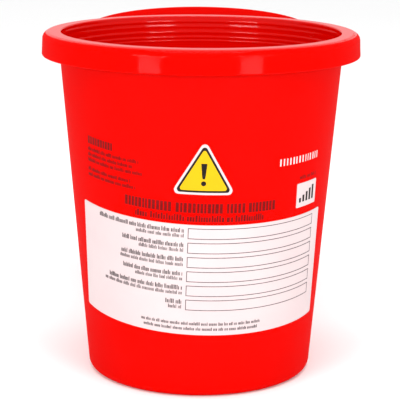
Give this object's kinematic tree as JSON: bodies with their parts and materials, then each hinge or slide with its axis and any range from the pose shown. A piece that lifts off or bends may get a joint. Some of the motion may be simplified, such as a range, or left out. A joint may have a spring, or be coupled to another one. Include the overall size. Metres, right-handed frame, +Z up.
{
  "type": "waste container",
  "caption": "Small tapered plastic waste bin with a turned-down rim, a hinged lid folded back, a covered drop opening in the lid and a wrapped record label.",
  "frame": {"origin": "centre of the container's flat base, where it rests", "axes": "+Z up along the container's axis, -Y the printed front, +Y the back where the lid is hinged, +X to the right seen from the front"},
  "size_m": [0.118, 0.2371, 0.1265],
  "materials": {
    "red_plastic": "glossy moulded polypropylene",
    "label_white": "satin printed film",
    "label_yellow": "satin printed film",
    "print_black": "flat printing ink",
    "print_dark_red": "flat printing ink"
  },
  "bodies": {
    "container": {"container": "red_plastic", "hinge_strap": "red_plastic", "record_label": "label_white", "hazard_label": "label_yellow", "capacity_label": "label_white"},
    "lid": {"lid": "red_plastic", "flap_strap": "red_plastic"},
    "flap": {"drop_flap": "red_plastic"}
  },
  "joints": [
    {"name": "lid_hinge", "type": "hinge", "parent": "container", "child": "lid", "pos_m": [0, 0.0591, 0.1224], "axis": [1, 0, 0], "range_deg": [0, 198]},
    {"name": "flap_hinge", "type": "hinge", "parent": "lid", "child": "flap", "pos_m": [0, 0.09284, 0.10618], "axis": [-1, 0, 0], "range_deg": [0, 100]}
  ]
}
